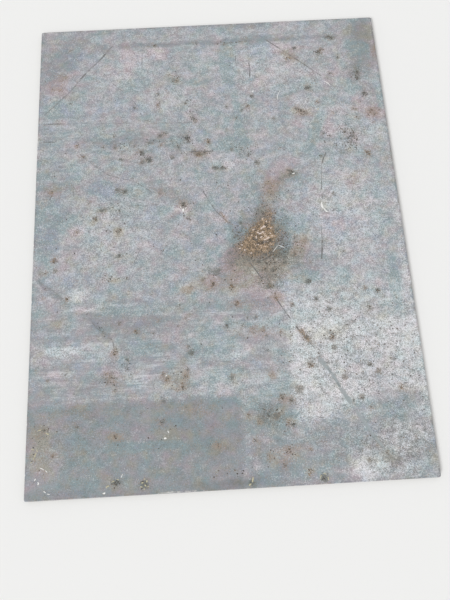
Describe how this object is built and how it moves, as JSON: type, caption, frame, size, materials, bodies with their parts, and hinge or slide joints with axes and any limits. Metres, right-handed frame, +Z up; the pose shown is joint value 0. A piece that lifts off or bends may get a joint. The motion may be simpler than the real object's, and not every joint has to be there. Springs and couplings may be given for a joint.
{
  "type": "steel plate",
  "caption": "Flat rectangular piece of hot-rolled steel plate, guillotine-sheared on all sides, with worn mill scale, rust spots and scratches.",
  "frame": {"origin": "middle of the underside, on the surface that the plate lies on", "axes": "+X across the width, +Y along the length, +Z up out of the top face"},
  "size_m": [0.75, 1, 0.01],
  "materials": {
    "mill_scale_steel": "hot-rolled steel with blue-grey mill scale, mottled and scratched, one patch of brown rust crust, small rust spots, dull sheared edges"
  },
  "bodies": {
    "root": {"plate": "mill_scale_steel"}
  },
  "joints": []
}
